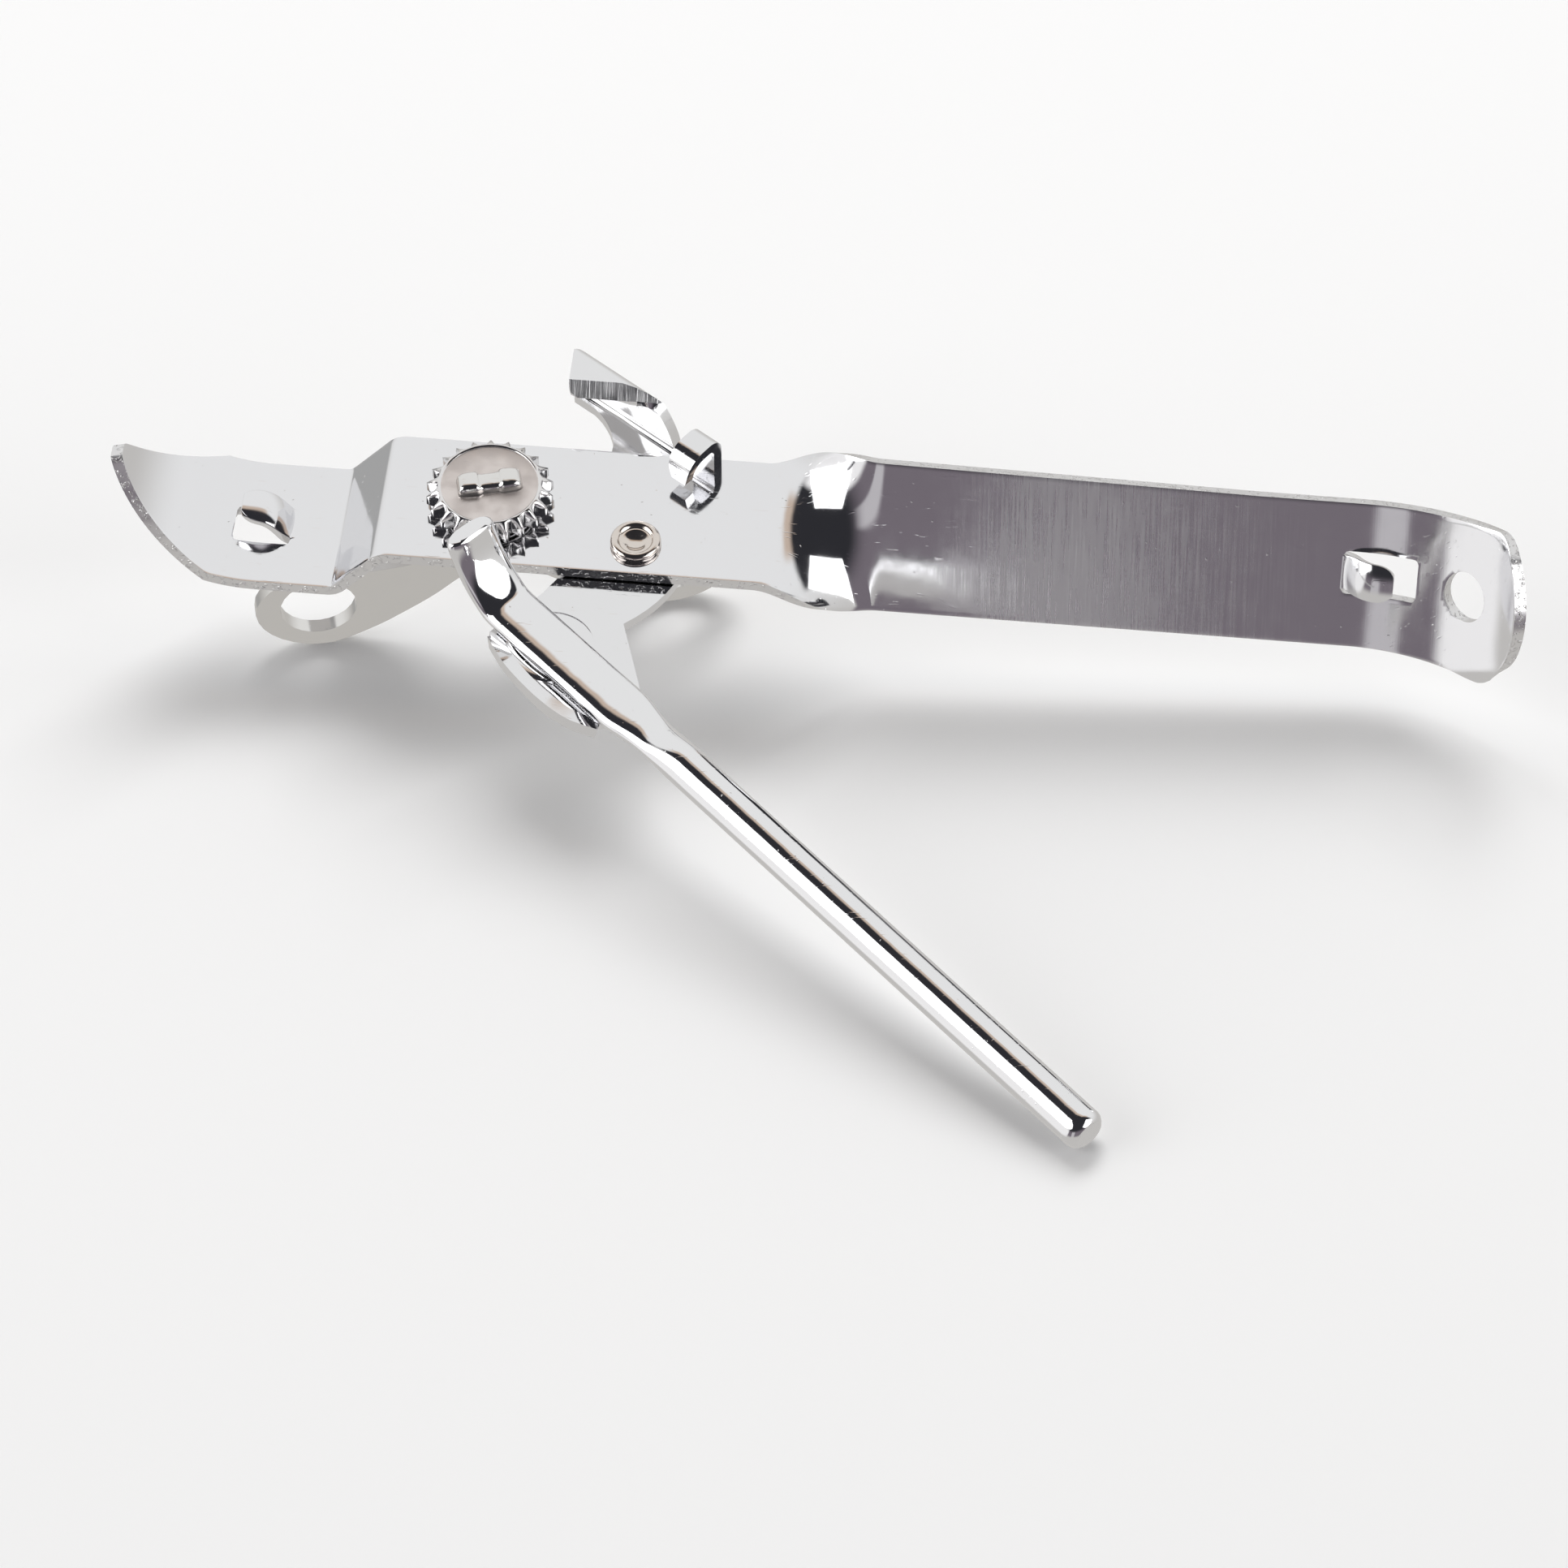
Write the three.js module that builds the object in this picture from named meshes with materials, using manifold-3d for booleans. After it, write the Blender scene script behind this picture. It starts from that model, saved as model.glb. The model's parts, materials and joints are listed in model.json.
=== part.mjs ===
// A manual can opener with a butterfly key, opened and lying on a table. Millimetres, +Z up.
import * as THREE from 'three';
import { mergeVertices } from 'three/addons/utils/BufferGeometryUtils.js';
import Module from 'manifold-3d';

const wasm = await Module();
wasm.setup();

// Driving dimensions. The working frame has x along the bar, y across it and z out of its front face, with its
// origin where the wheel's axis meets that face. The opener is turned into its lying pose at the end.
const GAP = 0.3;
const BAR = {
  halfWidth: 10.1, thickness: 1.65, gripHalfWidth: 10.4, gripTaper: 0.65, shaftBore: 9.6, pivotBore: 5.2,
  joggleStart: 12.2, joggleEnd: 24.3, joggleAngle: 50, joggleBend: 2.2,
  clawStart: 33.8, clawLength: 24.5, clawTurn: 72.5,
  twistStart: 35.5, twistEnd: 51.5, twistAngle: 62,
  curlStart: 113, curlRadius: 23, end: 139.7, endFlare: 0.6,
  hangingHole: 6.8, hangingHoleAt: 129.2, reliefRadius: 15.35, reliefFrom: 54.8, reliefTo: 100,
};
const PIVOT = new THREE.Vector2(19.7, -5.2);
const LEVER = {
  front: -BAR.thickness - GAP, thickness: 1.5, foldGap: 6.2, foldRadius: 1.6, foldAngle: -34.7,
  knifeFold: 15.6, knifeLeft: -11.2, edge: 20.5, lugFold: 15.1,
};
const WHEEL = { back: 0.9, front: 3.8, tipRadius: 8.3, rootRadius: 6.8, teeth: 22 };
const KEY = {
  thickness: 2, turn: 14.4, tangHalf: 3.95, shoulderHalf: 6, shoulder: -2.9, tip: 4.8, hole: 10.2, holeAt: 23.8, holeHeight: -16.3,
};
const ROD = { radius: 2.75, palmHalfWidth: 3.57, palmHalfThickness: 1.45, height: -0.3, curlLength: 11.8 };
const LYING = { pitch: 2.79, roll: 10.74 };

const radians = THREE.MathUtils.degToRad;
const lerp = THREE.MathUtils.lerp;
const smooth = THREE.MathUtils.smoothstep;
const ramp = (x, from, to) => THREE.MathUtils.clamp((x - from) / (to - from), 0, 1);

// Solids: geometry in and out of the join and cut kernel.
function weld(geometry) {
  geometry.deleteAttribute('normal');
  geometry.deleteAttribute('uv');
  const welded = mergeVertices(geometry, 1e-4);
  const index = [];
  for (let i = 0; i < welded.index.count; i += 3) {
    const corners = [0, 1, 2].map((k) => welded.index.getX(i + k));
    if (new Set(corners).size === 3) index.push(...corners);
  }
  welded.setIndex(index);
  return welded;
}

function solid(geometry) {
  const welded = weld(geometry);
  return new wasm.Manifold(new wasm.Mesh({
    numProp: 3,
    vertProperties: new Float32Array(welded.attributes.position.array),
    triVerts: new Uint32Array(welded.index.array),
  }));
}

function geometryOf(manifold) {
  const mesh = manifold.getMesh();
  const geometry = new THREE.BufferGeometry();
  geometry.setAttribute('position', new THREE.BufferAttribute(new Float32Array(mesh.vertProperties), 3));
  geometry.setIndex(new THREE.BufferAttribute(new Uint32Array(mesh.triVerts), 1));
  return geometry;
}

const join = (...geometries) => geometryOf(wasm.Manifold.union(geometries.map(solid)));
const cut = (body, ...tools) => geometryOf(solid(body).subtract(wasm.Manifold.union(tools.map(solid))));

// A flat plate of the given outline between two heights.
function plate(shape, from, to, curveSegments = 12) {
  const options = { depth: to - from, bevelEnabled: false, curveSegments };
  return new THREE.ExtrudeGeometry(shape, options).translate(0, 0, from);
}

function drill(radius, place, axis, length = 8, segments = 32) {
  const turn = new THREE.Quaternion().setFromUnitVectors(new THREE.Vector3(0, 1, 0), axis);
  return new THREE.CylinderGeometry(radius, radius, length, segments).applyQuaternion(turn)
    .translate(place.x, place.y, place.z);
}

// A path followed in small steps. direction(s) gives the three axes at s: along, across and normal.
function trace(start, directions, from, to, step = 0.25) {
  const frames = [];
  const place = start.clone();
  const count = Math.round(Math.abs(to - from) / step);
  for (let i = 0; i <= count; i++) {
    const s = lerp(from, to, i / count);
    frames.push({ s, place: place.clone(), ...directions(s) });
    const middle = lerp(from, to, (i + 0.5) / count);
    place.addScaledVector(directions(middle).along, (to - from) / count);
  }
  return frames;
}

// The same axes along a curve, with the normal kept as near to z as it can be.
function framesAlong(curve, count) {
  return Array.from({ length: count + 1 }, (_, i) => {
    const along = curve.getTangentAt(i / count);
    const across = new THREE.Vector3(0, 0, 1).cross(along).normalize();
    return { s: i / count, place: curve.getPointAt(i / count), along, across, normal: along.clone().cross(across) };
  });
}

// A sheet laid along frames, one column of vertices for each frame. edges(s) gives its two edges.
function sheet(frames, edges, thickness, rows = 2, shift = () => 0) {
  const geometry = new THREE.BoxGeometry(1, 1, 1, frames.length - 1, rows, 1);
  const position = geometry.attributes.position;
  for (let i = 0; i < position.count; i++) {
    const frame = frames[Math.round((position.getX(i) + 0.5) * (frames.length - 1))];
    const [low, high] = edges(frame.s);
    const t = lerp(low, high, position.getY(i) + 0.5);
    const point = frame.place.clone()
      .addScaledVector(frame.across, t)
      .addScaledVector(frame.normal, position.getZ(i) * thickness)
      .addScaledVector(frame.along, -shift(frame.s, t));
    position.setXYZ(i, point.x, point.y, point.z);
  }
  return geometry;
}

// Handle bar: claw, joggle, flat head, quarter twist, flat grip and curled end, from one strip of steel.
function barDirections(s) {
  const curlTurn = (BAR.end - BAR.curlStart) / BAR.curlRadius;
  const down = ramp(-s, BAR.joggleStart, BAR.joggleStart + BAR.joggleBend);
  const level = ramp(-s, BAR.joggleEnd - BAR.joggleBend, BAR.joggleEnd);
  const pitch = radians(BAR.joggleAngle) * (down - level)
    - radians(BAR.clawTurn) * ramp(-s, BAR.clawStart, BAR.clawStart + BAR.clawLength)
    + curlTurn * ramp(s, BAR.curlStart, BAR.end);
  const twist = radians(BAR.twistAngle) * smooth(s, BAR.twistStart, BAR.twistEnd);
  const flatNormal = new THREE.Vector3(0, -Math.sin(twist), Math.cos(twist));
  const x = new THREE.Vector3(1, 0, 0);
  return {
    along: x.clone().multiplyScalar(Math.cos(pitch)).addScaledVector(flatNormal, Math.sin(pitch)),
    across: new THREE.Vector3(0, Math.cos(twist), Math.sin(twist)),
    normal: flatNormal.clone().multiplyScalar(Math.cos(pitch)).addScaledVector(x, -Math.sin(pitch)),
  };
}

function barEdges(s) {
  const fromTip = s + BAR.clawStart + BAR.clawLength;
  const claw = 0.9 + 0.43 * fromTip + 0.35 * Math.sqrt(Math.max(fromTip, 0));
  const grip = lerp(BAR.halfWidth, BAR.gripHalfWidth, smooth(s, BAR.twistStart, BAR.twistEnd));
  const half = Math.min(claw, grip) + BAR.endFlare * smooth(s, BAR.curlStart, BAR.end);
  return [-half, half - BAR.gripTaper * ramp(s, BAR.twistEnd, 100)];
}

// The end of the grip is a shallow arc, with its lower corner rounded off.
function endShift(s, t) {
  const arc = 5.2 * (t / BAR.gripHalfWidth) ** 2;
  const corner = 1.5 * Math.max(0, (-5 - t) / 5.5) ** 2;
  return (arc + corner) * ramp(s, BAR.end - 12, BAR.end);
}

function barFrame(s) {
  const start = new THREE.Vector3(0, 0, -BAR.thickness / 2);
  return trace(start, barDirections, 0, s).at(-1);
}

// A tab lanced out of the bar: its root is on the bar at s, and it rises off the front, towards outward.
function lancedTab(s, outward, length, halfWidth, rise, curl) {
  const frame = barFrame(s);
  const along = frame.along.clone().multiplyScalar(outward);
  const across = frame.across.clone().multiplyScalar(outward);
  const directions = (q) => {
    const pitch = radians(rise) * ramp(q, 0.5, 2) + radians(curl) * ramp(q, length * 0.5, length * 0.8);
    return {
      along: along.clone().multiplyScalar(Math.cos(pitch)).addScaledVector(frame.normal, Math.sin(pitch)),
      across,
      normal: frame.normal.clone().multiplyScalar(Math.cos(pitch)).addScaledVector(along, -Math.sin(pitch)),
    };
  };
  const width = (q) => halfWidth * Math.sqrt(1 - 0.72 * ramp(q, length - halfWidth, length) ** 2);
  const edges = (q) => [-width(q), width(q)];
  return sheet(trace(frame.place, directions, -0.6, length, 0.7), edges, BAR.thickness - 0.1, 1);
}

function windowCutter(s, length, width, across = 0) {
  const frame = barFrame(s);
  const basis = new THREE.Matrix4().makeBasis(frame.along, frame.across, frame.normal);
  return new THREE.BoxGeometry(length, width, 5).translate(0, across, 0).applyMatrix4(basis)
    .translate(frame.place.x, frame.place.y, frame.place.z);
}

function handleBar() {
  const start = new THREE.Vector3(0, 0, -BAR.thickness / 2);
  const clawEnd = -BAR.clawStart - BAR.clawLength;
  const left = trace(start, barDirections, 0, clawEnd, 1).reverse();
  const right = trace(start, barDirections, 0, BAR.end, 1.25).slice(1);
  const strip = sheet([...left, ...right], barEdges, BAR.thickness, 6, endShift);
  const hole = barFrame(BAR.hangingHoleAt);
  const relief = new THREE.Shape();
  relief.absarc(0, 0, BAR.reliefRadius, radians(BAR.reliefFrom), radians(BAR.reliefTo), false);
  relief.absarc(0, 0, 24, radians(BAR.reliefTo), radians(BAR.reliefFrom), true);
  const z = new THREE.Vector3(0, 0, 1);
  const punched = cut(
    strip,
    drill(BAR.shaftBore / 2, new THREE.Vector3(0, 0, 0), z),
    drill(BAR.pivotBore / 2, new THREE.Vector3(PIVOT.x, PIVOT.y, 0), z),
    drill(BAR.hangingHole / 2, hole.place, hole.normal),
    plate(relief, -4, 3).translate(PIVOT.x, PIVOT.y, 0),
    windowCutter(-33.9, 7.8, 5.6, -0.7),
    windowCutter(116.6, 10.2, 6),
  );
  return join(punched, lancedTab(-28.6, -1, 9.2, 2.4, 50, -46), lancedTab(110.6, 1, 8.8, 2.4, 50, -46));
}

// Knife lever: skirt, neck, folded knife and hooked stop lug. Its own frame has its origin on the pivot's axis.
const foldDirection = new THREE.Vector3(Math.cos(radians(LEVER.foldAngle)), Math.sin(radians(LEVER.foldAngle)), 0);
const foldOutward = new THREE.Vector3(-foldDirection.y, foldDirection.x, 0);

// A strip folded forward over the bar's edge, from the plane of the lever's plate. bends lists what follows as
// [straight, radius, turn], and edges(q) gives the strip's two sides.
function foldedStrip(away, bends, edges) {
  const start = foldOutward.clone().multiplyScalar(away - 0.4);
  start.z = LEVER.front - LEVER.thickness / 2;
  const z = new THREE.Vector3(0, 0, 1);
  const length = bends.reduce((sum, [straight, radius, turn]) => sum + straight + radius * radians(turn), 0);
  const directions = (q) => {
    let pitch = 0;
    let from = 0;
    for (const [straight, radius, turn] of bends) {
      const arc = radius * radians(turn);
      if (arc > 0) pitch += radians(turn) * ramp(q, from + straight, from + straight + arc);
      from += straight + arc;
    }
    return {
      along: foldOutward.clone().multiplyScalar(Math.cos(pitch)).addScaledVector(z, Math.sin(pitch)),
      across: foldDirection.clone().negate(),
      normal: z.clone().multiplyScalar(Math.cos(pitch)).addScaledVector(foldOutward, -Math.sin(pitch)),
    };
  };
  const sides = (q) => edges(q / length).map((side) => -side).reverse();
  return sheet(trace(start, directions, 0, length, 0.42), sides, LEVER.thickness, 1);
}

function polygon(points) {
  return new THREE.Shape(points.map(([x, y]) => new THREE.Vector2(x, y)));
}

function knifeLever() {
  const back = LEVER.front - LEVER.thickness;
  const bladeBack = LEVER.front + LEVER.foldGap;
  const at = (along, out) => foldOutward.clone().multiplyScalar(out).addScaledVector(foldDirection, along);
  const foldLeft = at(-24.6, LEVER.knifeFold);
  const foldRight = at(-7.5, LEVER.knifeFold);
  const lugLeft = at(-3.9, LEVER.lugFold);
  const lugRight = at(-0.2, LEVER.lugFold);
  const outline = new THREE.Shape();
  outline.moveTo(6.2, -3);
  outline.quadraticCurveTo(4.3, -8.2, -0.3, -11.8);
  outline.lineTo(2.8, -21.5);
  outline.lineTo(3.8, -25.5);
  outline.quadraticCurveTo(-3, -30.5, -8.8, -26.4);
  outline.quadraticCurveTo(-14.6, -21.5, -17.4, -14.8);
  outline.lineTo(-14.5, -11.5);
  outline.quadraticCurveTo(-9, -6, -6.3, 3);
  outline.lineTo(-5, 18.2);
  outline.quadraticCurveTo(-6, 23.4, LEVER.knifeLeft, 26.4);
  outline.lineTo(LEVER.knifeLeft, foldLeft.y);
  outline.lineTo(foldRight.x, foldRight.y);
  outline.lineTo(lugLeft.x - 1.2, lugLeft.y + 0.4);
  outline.lineTo(lugLeft.x, lugLeft.y);
  outline.lineTo(lugRight.x, lugRight.y);
  outline.quadraticCurveTo(8.2, 5, 6.4, -2.4);
  const bore = new THREE.Path();
  bore.absarc(0, 0, BAR.pivotBore / 2, 0, Math.PI * 2, false);
  outline.holes.push(bore);
  const blade = polygon([
    [LEVER.knifeLeft, foldLeft.y - 0.2], [LEVER.knifeLeft, LEVER.edge + 1.5], [LEVER.knifeLeft + 0.3, LEVER.edge + 0.5],
    [LEVER.knifeLeft + 1.2, LEVER.edge], [-2.2, LEVER.edge], [at(-12.9, 16.3).x, at(-12.9, 16.3).y],
  ]);
  const crown = LEVER.foldGap + LEVER.thickness - 2 * LEVER.foldRadius;
  const knifeFold = foldedStrip(
    LEVER.knifeFold,
    [[0.4, LEVER.foldRadius, 90], [crown, LEVER.foldRadius, 90], [0.4, 1, 0]],
    (part) => [-27, -7.5 - 5.4 * part ** 2.2],
  );
  const knife = cut(
    join(knifeFold, plate(blade, bladeBack, bladeBack + LEVER.thickness)),
    // The ground bevel under the knife, the cut of the fold's left end and the corner taken off above it.
    new THREE.BoxGeometry(30, 4, 4).translate(0, -2, 2).rotateX(radians(-52))
      .translate(-5, LEVER.edge, bladeBack + 0.05),
    new THREE.BoxGeometry(10, 40, 14).translate(LEVER.knifeLeft - 5, 25, 1.5),
    new THREE.BoxGeometry(8, 8, 5).rotateZ(radians(28)).translate(LEVER.knifeLeft - 3.1, foldLeft.y + 3.9, 6.2),
  );
  const lug = foldedStrip(
    LEVER.lugFold,
    [[0.4, LEVER.foldRadius, 90], [crown, LEVER.foldRadius, 90], [1.2, 2.4, 86], [1.3, 1, 0]],
    (part) => [-3.9 + 0.9 * ramp(part, 0.75, 1) ** 2, -0.2 - 0.5 * ramp(part, 0.7, 1) ** 2],
  );
  const rim = new THREE.CatmullRomCurve3([
    new THREE.Vector3(-16.8, -15.2, back + 0.3), new THREE.Vector3(-14, -20.2, back + 1.6),
    new THREE.Vector3(-9.2, -25.4, back + 2), new THREE.Vector3(-5.4, -27.7, back + 1.3),
    new THREE.Vector3(-1.8, -28.2, back + 0.3),
  ]);
  return join(
    plate(outline, back, LEVER.front),
    knife,
    lug,
    sheet(framesAlong(rim, 18), () => [-0.8, 0.8], 2, 1),
  ).translate(PIVOT.x, PIVOT.y, 0);
}

// Rod handle: the route of its centre runs from the far end to the neck, along the palm, and up the curled end.
function rodHandle() {
  const end = new THREE.Vector3(64.7, -85.8, ROD.height);
  const neck = new THREE.Vector3(4.9, -30.1, ROD.height);
  const bend = new THREE.Vector3(-15.5, -11.5, ROD.height);
  const rodLength = end.distanceTo(neck);
  const palmLength = neck.distanceTo(bend);
  const z = new THREE.Vector3(0, 0, 1);
  const directions = (s) => {
    const bendTurn = ramp(s, rodLength - 3, rodLength + 3);
    const flat = neck.clone().sub(end).normalize().lerp(bend.clone().sub(neck).normalize(), bendTurn).normalize();
    const q = s - rodLength - palmLength;
    const pitch = radians(34) * ramp(q, -0.8, 0.8) + radians(42) * ramp(q, 1, ROD.curlLength);
    return {
      along: flat.clone().multiplyScalar(Math.cos(pitch)).addScaledVector(z, Math.sin(pitch)),
      across: z.clone().cross(flat),
      normal: z.clone().multiplyScalar(Math.cos(pitch)).addScaledVector(flat, -Math.sin(pitch)),
    };
  };
  const total = rodLength + palmLength + ROD.curlLength;
  const traced = trace(end, directions, 0, total, 0.5);
  const stations = [0, 0.25, 0.7, 1.5];
  for (let s = 20; s < rodLength - 12; s += 20) stations.push(s);
  for (let s = rodLength - 6; s < rodLength + 6; s += 1.5) stations.push(s);
  for (let s = rodLength + palmLength - 2; s < total; s += 1.1) stations.push(s);
  stations.push(total);
  const frames = stations.map((s) => traced[Math.min(traced.length - 1, Math.round(s / 0.5))]);
  const sides = 20;
  const geometry = new THREE.CylinderGeometry(1, 1, 1, sides, stations.length - 1);
  const position = geometry.attributes.position;
  for (let i = 0; i < position.count; i++) {
    const column = Math.round((0.5 - position.getY(i)) * (stations.length - 1));
    const frame = frames[column];
    const flat = smooth(stations[column], rodLength - 2, rodLength + 5);
    const thin = smooth(stations[column], rodLength - 7, rodLength);
    const endRound = Math.sqrt(1 - 0.6 * (1 - ramp(stations[column], 0, 1.5)) ** 2);
    const halfWidth = lerp(ROD.radius, ROD.palmHalfWidth, flat) * endRound;
    const halfThickness = lerp(ROD.radius, ROD.palmHalfThickness, thin) * endRound;
    const angle = Math.atan2(position.getZ(i), position.getX(i));
    const reach = Math.hypot(position.getX(i), position.getZ(i));
    const square = lerp(1, 0.72, flat);
    const across = Math.sign(Math.cos(angle)) * Math.abs(Math.cos(angle)) ** square * halfWidth * reach;
    const up = Math.sign(Math.sin(angle)) * Math.abs(Math.sin(angle)) ** square * halfThickness * reach;
    const shift = stations[column] - frame.s;
    const point = frame.place.clone().addScaledVector(frame.along, shift)
      .addScaledVector(frame.across, across).addScaledVector(frame.normal, up);
    position.setXYZ(i, point.x, point.y, point.z);
  }
  return weld(geometry).translate(PIVOT.x, PIVOT.y, 0);
}

// Feed wheel: a toothed disc with a slot for the key's tang.
function feedWheel() {
  const shape = new THREE.Shape();
  for (let tooth = 0; tooth < WHEEL.teeth; tooth++) {
    const pitch = Math.PI * 2 / WHEEL.teeth;
    for (const [part, radius] of [[-0.36, WHEEL.rootRadius], [-0.16, WHEEL.tipRadius],
      [0.16, WHEEL.tipRadius], [0.36, WHEEL.rootRadius]]) {
      const angle = (tooth + part) * pitch;
      shape[tooth || part > -0.3 ? 'lineTo' : 'moveTo'](radius * Math.cos(angle), radius * Math.sin(angle));
    }
  }
  const slot = new THREE.BoxGeometry(2 * (KEY.tangHalf + GAP), KEY.thickness + 2 * GAP, 12);
  return cut(plate(shape, WHEEL.back, WHEEL.front), slot);
}

// Butterfly key: a flat plate that holds the wheel's axis, with a tang, two shoulders and two holed wings.
function butterflyKey() {
  const half = [
    [KEY.shoulderHalf, -6], [9.5, -9.3], [16, -10.1], [23.5, -9.95], [29.2, -11.3], [32.1, -15.4], [31.2, -19.8],
    [27.6, -23], [22.5, -24], [16.7, -21.8], [12.4, -19.3], [8.4, -16.6], [5.2, -13.9], [2.6, -12.2], [0, -11.8],
  ].map(([x, y]) => new THREE.Vector2(x, y));
  const right = new THREE.SplineCurve(half).getPoints(40);
  const left = right.map((p) => new THREE.Vector2(-p.x, p.y)).reverse();
  const shape = new THREE.Shape([
    new THREE.Vector2(KEY.tangHalf, KEY.tip), new THREE.Vector2(KEY.tangHalf, KEY.shoulder),
    new THREE.Vector2(KEY.shoulderHalf, KEY.shoulder), ...right, ...left.slice(1),
    new THREE.Vector2(-KEY.shoulderHalf, KEY.shoulder), new THREE.Vector2(-KEY.tangHalf, KEY.shoulder),
    new THREE.Vector2(-KEY.tangHalf, KEY.tip), new THREE.Vector2(-1.4, KEY.tip),
    new THREE.Vector2(-1.2, KEY.tip - 0.8), new THREE.Vector2(1.2, KEY.tip - 0.8), new THREE.Vector2(1.4, KEY.tip),
  ]);
  for (const side of [-1, 1]) {
    const hole = new THREE.Path();
    hole.absarc(side * KEY.holeAt, KEY.holeHeight, KEY.hole / 2, 0, Math.PI * 2, false);
    shape.holes.push(hole);
  }
  return plate(shape, -KEY.thickness / 2, KEY.thickness / 2).rotateX(Math.PI / 2);
}

// A flat or domed washer, made by turning its section about the axis.
function washer(inner, outer, from, to, dome = 0) {
  const profile = [
    new THREE.Vector2(inner, from), new THREE.Vector2(outer, from + dome),
    new THREE.Vector2(outer, to + dome), new THREE.Vector2(inner, to), new THREE.Vector2(inner, from),
  ];
  return weld(new THREE.LatheGeometry(profile, 32).rotateX(Math.PI / 2));
}

function pivotEyelet() {
  const profile = [
    [0, -1.2], [0.5, -1], [1.3, -0.3], [1.75, 0.5], [2.05, 1.05], [2.5, 1.25], [3, 1.1], [3.25, 0.7], [3.2, GAP],
    [2.3, GAP], [2.3, -4.7], [3.1, -4.7], [3.1, -5.3], [2.2, -5.6], [1, -5.3], [0, -5.3],
  ].map(([x, y]) => new THREE.Vector2(x, y)).reverse();
  return weld(new THREE.LatheGeometry(profile, 28).rotateX(Math.PI / 2)).translate(PIVOT.x, PIVOT.y, 0);
}

// Assembly.
const pieces = new THREE.Group();
pieces.name = 'lying_pose';

function add(name, geometry, color, roughness) {
  const drawn = geometry.index ? geometry.toNonIndexed() : geometry;
  drawn.computeVertexNormals();
  const mesh = new THREE.Mesh(drawn, new THREE.MeshStandardMaterial({ color, roughness, metalness: 1 }));
  mesh.name = name;
  pieces.add(mesh);
  return mesh;
}

add('handle_bar', handleBar(), '#d2d2d4', 0.15);
add('knife_lever', knifeLever(), '#cfcfd1', 0.15);
add('rod_handle', rodHandle(), '#d4d4d6', 0.12);
add('feed_wheel', feedWheel(), '#b9b3b4', 0.35);
add('butterfly_key', butterflyKey(), '#d0d0d2', 0.15).rotation.z = radians(KEY.turn);
add('pivot_eyelet', pivotEyelet(), '#c8bcb0', 0.2);
add('spring_washer', washer(4.8, 6.5, -2.55, -2.15, -0.05), '#a8a8aa', 0.35);
add('wheel_washer', washer(4.8, 6.2, GAP, 0.6), '#a8a8aa', 0.35);
add('pivot_washer', washer(2.6, 4.5, -4.4, -3.9).translate(PIVOT.x, PIVOT.y, 0), '#b8b8ba', 0.3);
pieces.getObjectByName('feed_wheel').rotation.z = radians(KEY.turn);

const opener = new THREE.Group();
pieces.rotation.set(radians(LYING.roll), radians(LYING.pitch), 0);
opener.add(pieces);
opener.updateMatrixWorld(true);
const box = new THREE.Box3().setFromObject(opener, true);
const centre = box.getCenter(new THREE.Vector3());
opener.position.set(-centre.x, -centre.y, -box.min.z);

export default opener;
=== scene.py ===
"""Looks for a manual can opener with a butterfly key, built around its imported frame."""

import json
import math

import bmesh
import bpy
from mathutils import Matrix, Vector


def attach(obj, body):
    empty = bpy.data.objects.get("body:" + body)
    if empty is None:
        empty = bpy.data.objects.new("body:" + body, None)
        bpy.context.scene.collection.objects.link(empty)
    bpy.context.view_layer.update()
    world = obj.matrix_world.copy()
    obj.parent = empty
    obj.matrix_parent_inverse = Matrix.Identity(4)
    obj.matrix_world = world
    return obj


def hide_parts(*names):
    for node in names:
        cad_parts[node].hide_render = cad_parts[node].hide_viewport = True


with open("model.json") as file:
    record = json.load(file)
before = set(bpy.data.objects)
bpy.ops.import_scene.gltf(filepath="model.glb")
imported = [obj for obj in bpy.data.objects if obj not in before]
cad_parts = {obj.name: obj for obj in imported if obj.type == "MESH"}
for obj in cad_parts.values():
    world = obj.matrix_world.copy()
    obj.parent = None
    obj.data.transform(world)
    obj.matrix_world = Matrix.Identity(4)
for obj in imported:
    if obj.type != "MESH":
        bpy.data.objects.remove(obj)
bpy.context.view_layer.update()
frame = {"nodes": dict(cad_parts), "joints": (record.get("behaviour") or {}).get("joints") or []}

# Handle bar: one strip of chromed steel with a claw at one end and a curled end with a hanging hole at the
# other. The press joggles it down behind the flat head, twists it into the grip and punches two windows.
WHEEL_AXIS = Vector(next(j["pos_m"] for j in frame["joints"] if j["name"] == "key_turn"))
PIVOT_PLACE = (19.7, -5.2)
LYING_ROLL, LYING_PITCH = 10.74, 2.79
lie = (
    Matrix.Translation(WHEEL_AXIS)
    @ Matrix.Rotation(math.radians(LYING_ROLL), 4, "X")
    @ Matrix.Rotation(math.radians(LYING_PITCH), 4, "Y")
    @ Matrix.Scale(0.001, 4)
)
BAR_THICKNESS = 1.65
BAR_FROM, BAR_TO = -58.3, 139.7
JOGGLE_FROM, JOGGLE_TO, JOGGLE_BEND, JOGGLE_ANGLE = 12.2, 24.3, 2.2, 50
CLAW_FROM, CLAW_LENGTH, CLAW_TURN = 33.8, 24.5, 72.5
TWIST_FROM, TWIST_TO, TWIST_ANGLE = 35.5, 51.5, 62
CURL_FROM, CURL_RADIUS = 113, 23
HEAD_HALF_WIDTH, GRIP_HALF_WIDTH, END_FLARE, GRIP_TAPER = 10.1, 10.4, 0.6, 0.65
CLAW_TIP, CLAW_FLARE, CLAW_ROUNDING = 0.9, 0.43, 0.35
CORNER_LENGTH, CORNER_WIDTH = 2.2, 1.4


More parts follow.
